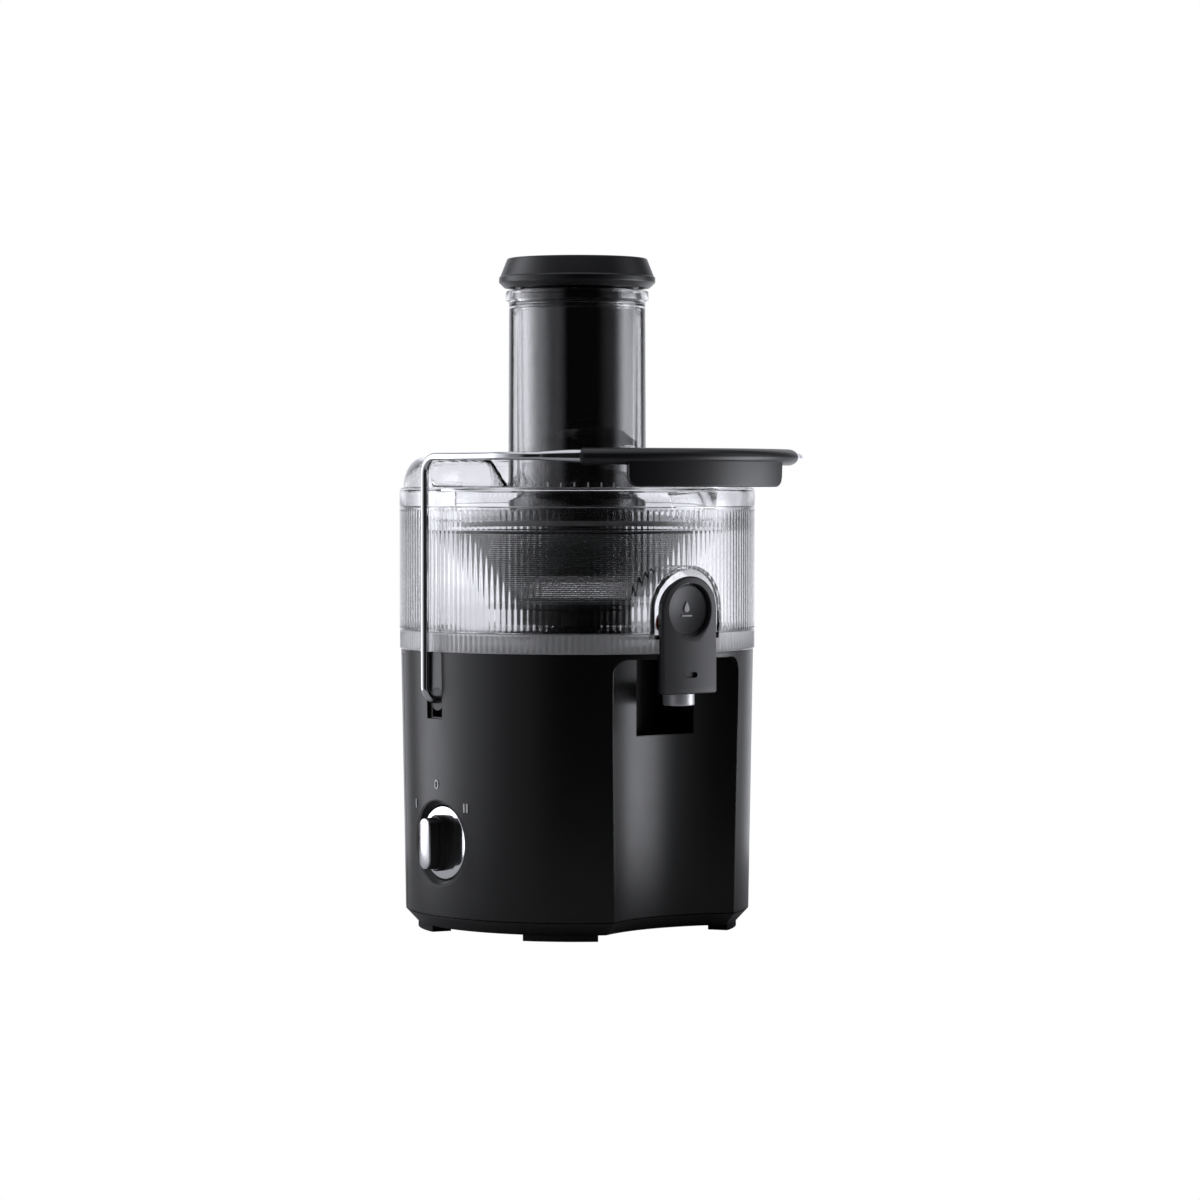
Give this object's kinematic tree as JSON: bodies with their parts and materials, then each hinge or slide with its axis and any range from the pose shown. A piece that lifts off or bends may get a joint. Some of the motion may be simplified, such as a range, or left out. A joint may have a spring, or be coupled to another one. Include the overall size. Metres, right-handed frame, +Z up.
{
  "type": "centrifugal juicer",
  "caption": "Round black centrifugal juicer with a clear ribbed bowl and lid, feed chute with pusher, chrome locking bail, side speed knob, front spout and slide-out pulp bin.",
  "frame": {"origin": "on the basket's spin axis, on the plane of the feet", "axes": "+Z up along the spin axis, -Y towards the spout, -X towards the speed knob, +Y where the pulp bin slides out"},
  "size_m": [0.2452, 0.2605, 0.4295],
  "materials": {
    "black_housing": "satin black moulded plastic",
    "black_base": "fine-grained black plastic",
    "black_trim": "matt black plastic",
    "grey_plastic": "dark grey satin plastic",
    "pusher_black": "glossy black plastic",
    "clear_plastic": "clear polycarbonate",
    "silver_plastic": "silver painted plastic",
    "chrome": "polished chrome",
    "steel": "stainless steel",
    "zinc": "die-cast",
    "laminations": "oiled sheet steel",
    "copper": "enamelled copper",
    "rubber": "black rubber",
    "silicone": "translucent silicone",
    "red_silicone": "red silicone",
    "white_print": "printed",
    "board_green": "solder mask",
    "switch_plastic": "moulded"
  },
  "bodies": {
    "base": {"housing": "black_housing", "base_plate": "black_base", "feet": "rubber", "base_screws": "steel", "knob_bezel": "black_trim", "dial_marks": "white_print", "rotary_switch": "switch_plastic", "pivot_bush_left": "black_trim", "pivot_bush_right": "black_trim", "interlock_switch": "switch_plastic", "motor_stator": "laminations", "motor_windings": "copper", "motor_top_bracket": "zinc", "motor_bottom_bracket": "zinc", "motor_bolts": "steel", "motor_mounts": "rubber", "top_bearing": "steel", "bottom_bearing": "steel", "carbon_brushes": "black_trim", "control_board": "board_green", "shaft_seal": "red_silicone", "cord_gland": "rubber"},
    "speed_knob": {"knob_disc": "silver_plastic", "knob_bar": "black_trim", "knob_face": "silver_plastic", "knob_shaft": "steel"},
    "bail": {"bail_wire": "chrome", "bail_ferrules": "chrome", "bail_grip": "grey_plastic"},
    "rotor": {"motor_shaft": "steel", "armature": "laminations", "commutator": "copper", "cooling_fan": "black_trim", "drive_coupling": "black_trim"},
    "collector": {"juice_collector": "clear_plastic", "spout_cover": "grey_plastic", "spout_nozzle": "chrome", "button_spring": "steel"},
    "drip_stop": {"drip_button": "grey_plastic", "drop_mark": "white_print", "valve_stem": "silicone", "valve_seal": "red_silicone"},
    "basket": {"basket_hub": "black_trim", "grating_disc": "steel", "filter_cone": "steel", "basket_rim": "black_trim"},
    "lid_assembly": {"lid": "clear_plastic", "lid_seal": "silicone"},
    "pusher": {"pusher_body": "pusher_black", "pusher_cap": "black_housing"},
    "pulp_container": {"pulp_bin": "black_housing", "bin_grip": "black_trim"}
  },
  "joints": [
    {"name": "knob_turn", "type": "hinge", "parent": "base", "child": "speed_knob", "pos_m": [-0.107, 0, 0.0587], "axis": [-1, 0, 0], "range_deg": [-45, 45]},
    {"name": "bail_swing", "type": "hinge", "parent": "base", "child": "bail", "pos_m": [0, 0.0015, 0.149], "axis": [1, 0, 0], "range_deg": [0, 85]},
    {"name": "motor_spin", "type": "hinge", "parent": "base", "child": "rotor", "pos_m": [0, 0, 0.18], "axis": [0, 0, 1], "continuous": true},
    {"name": "collector_lift", "type": "slide", "parent": "base", "child": "collector", "axis": [0, 0, 1], "range_m": [0, 0.1]},
    {"name": "button_press", "type": "slide", "parent": "collector", "child": "drip_stop", "axis": [0, 1, 0], "range_m": [0, 0.0035], "stiffness_N_per_m": 400, "springref_m": -0.0015, "deforming": ["button_spring"]},
    {"name": "basket_spin", "type": "hinge", "parent": "collector", "child": "basket", "pos_m": [0, 0, 0.2], "axis": [0, 0, 1], "continuous": true},
    {"name": "lid_lift", "type": "slide", "parent": "collector", "child": "lid_assembly", "axis": [0, 0, 1], "range_m": [0, 0.1]},
    {"name": "pusher_lift", "type": "slide", "parent": "lid_assembly", "child": "pusher", "axis": [0, 0, 1], "range_m": [0, 0.16]},
    {"name": "bin_slide", "type": "slide", "parent": "base", "child": "pulp_container", "axis": [0, 1, 0], "range_m": [0, 0.12]}
  ],
  "couplings": [
    {"joint": "motor_spin", "follows": "basket_spin", "ratio": 1}
  ]
}
